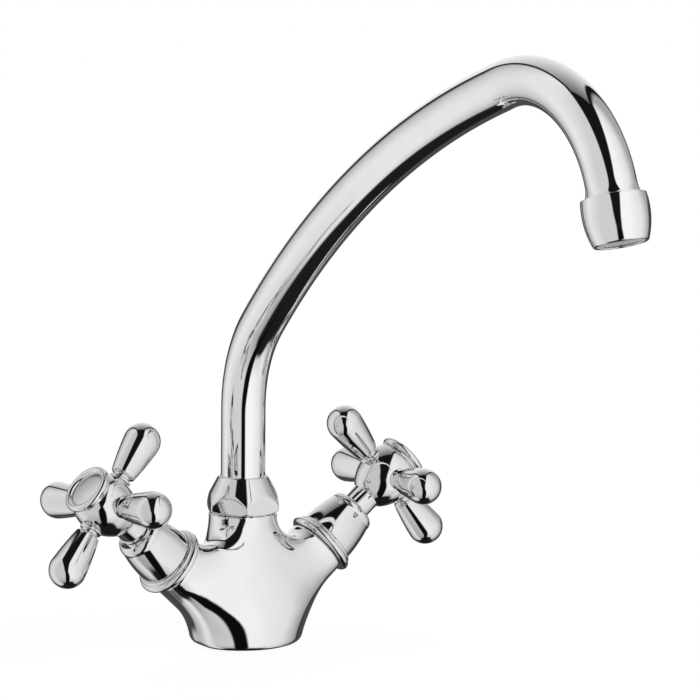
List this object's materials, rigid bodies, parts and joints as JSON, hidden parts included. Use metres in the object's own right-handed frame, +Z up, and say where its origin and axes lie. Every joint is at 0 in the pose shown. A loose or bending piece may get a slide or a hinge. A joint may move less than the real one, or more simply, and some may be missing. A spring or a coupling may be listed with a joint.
{
  "type": "kitchen mixer tap",
  "caption": "Deck-mounted chrome kitchen mixer with a swivelling swan-neck spout and cross handles on a Y-shaped body.",
  "frame": {"origin": "centre of the foot's underside, on the deck", "axes": "+Z up, spout reaches towards -Y (the user), hot side at -X, cold side at +X"},
  "size_m": [0.1901, 0.2861, 0.2483],
  "materials": {
    "polished_chrome": "mirror-polished chrome plate on brass",
    "cap_face": "satin chrome plate, plain face",
    "bare_brass": "turned, unplated",
    "black_rubber": "moulded, matt",
    "fibre_washer": "pressed fibre",
    "white_plastic": "moulded, satin",
    "plain_steel": "bright zinc or stainless, fine turning marks"
  },
  "bodies": {
    "mixer_body": {"body_casting": "polished_chrome", "base_gasket": "black_rubber", "spout_nut": "polished_chrome", "spout_slip_washer": "white_plastic", "hot_valve_seat": "bare_brass", "hot_bonnet_washer": "fibre_washer", "hot_bonnet": "bare_brass", "hot_trim_ring": "polished_chrome", "hot_arm_cover": "polished_chrome", "cold_valve_seat": "bare_brass", "cold_bonnet_washer": "fibre_washer", "cold_bonnet": "bare_brass", "cold_trim_ring": "polished_chrome", "cold_arm_cover": "polished_chrome"},
    "spout": {"spout_tube": "polished_chrome", "spout_spigot": "bare_brass", "spout_seals": "black_rubber", "aerator_housing": "polished_chrome", "aerator_washer": "black_rubber", "aerator_insert": "white_plastic", "aerator_screen": "plain_steel"},
    "hot_handle": {"hot_spindle": "bare_brass", "hot_spindle_seals": "black_rubber", "hot_spindle_clip": "plain_steel", "hot_handle_hub": "polished_chrome", "hot_handle_lobe_1": "polished_chrome", "hot_handle_lobe_2": "polished_chrome", "hot_handle_lobe_3": "polished_chrome", "hot_handle_lobe_4": "polished_chrome", "hot_cap_bezel": "polished_chrome", "hot_handle_cap": "cap_face", "hot_handle_screw": "plain_steel"},
    "hot_valve": {"hot_plunger": "bare_brass", "hot_valve_washer": "black_rubber", "hot_washer_screw": "plain_steel"},
    "cold_handle": {"cold_spindle": "bare_brass", "cold_spindle_seals": "black_rubber", "cold_spindle_clip": "plain_steel", "cold_handle_hub": "polished_chrome", "cold_handle_lobe_1": "polished_chrome", "cold_handle_lobe_2": "polished_chrome", "cold_handle_lobe_3": "polished_chrome", "cold_handle_lobe_4": "polished_chrome", "cold_cap_bezel": "polished_chrome", "cold_handle_cap": "cap_face", "cold_handle_screw": "plain_steel"},
    "cold_valve": {"cold_plunger": "bare_brass", "cold_valve_washer": "black_rubber", "cold_washer_screw": "plain_steel"}
  },
  "joints": [
    {"name": "spout_swivel", "type": "hinge", "parent": "mixer_body", "child": "spout", "pos_m": [0, 0, 0.0555], "axis": [0, 0, 1], "continuous": true},
    {"name": "hot_handle_turn", "type": "hinge", "parent": "mixer_body", "child": "hot_handle", "pos_m": [0, 0, 0.0057], "axis": [-0.7608, -0.0532, 0.6468], "range_deg": [0, 900]},
    {"name": "cold_handle_turn", "type": "hinge", "parent": "mixer_body", "child": "cold_handle", "pos_m": [0, 0, 0.0057], "axis": [0.7608, -0.0532, 0.6468], "range_deg": [0, 900]},
    {"name": "hot_valve_lift", "type": "slide", "parent": "mixer_body", "child": "hot_valve", "axis": [-0.7608, -0.0532, 0.6468], "range_m": [0, 0.005]},
    {"name": "cold_valve_lift", "type": "slide", "parent": "mixer_body", "child": "cold_valve", "axis": [0.7608, -0.0532, 0.6468], "range_m": [0, 0.005]}
  ],
  "couplings": [
    {"joint": "hot_valve_lift", "follows": "hot_handle_turn", "m_per_rad": 0.000318},
    {"joint": "cold_valve_lift", "follows": "cold_handle_turn", "m_per_rad": 0.000318}
  ]
}
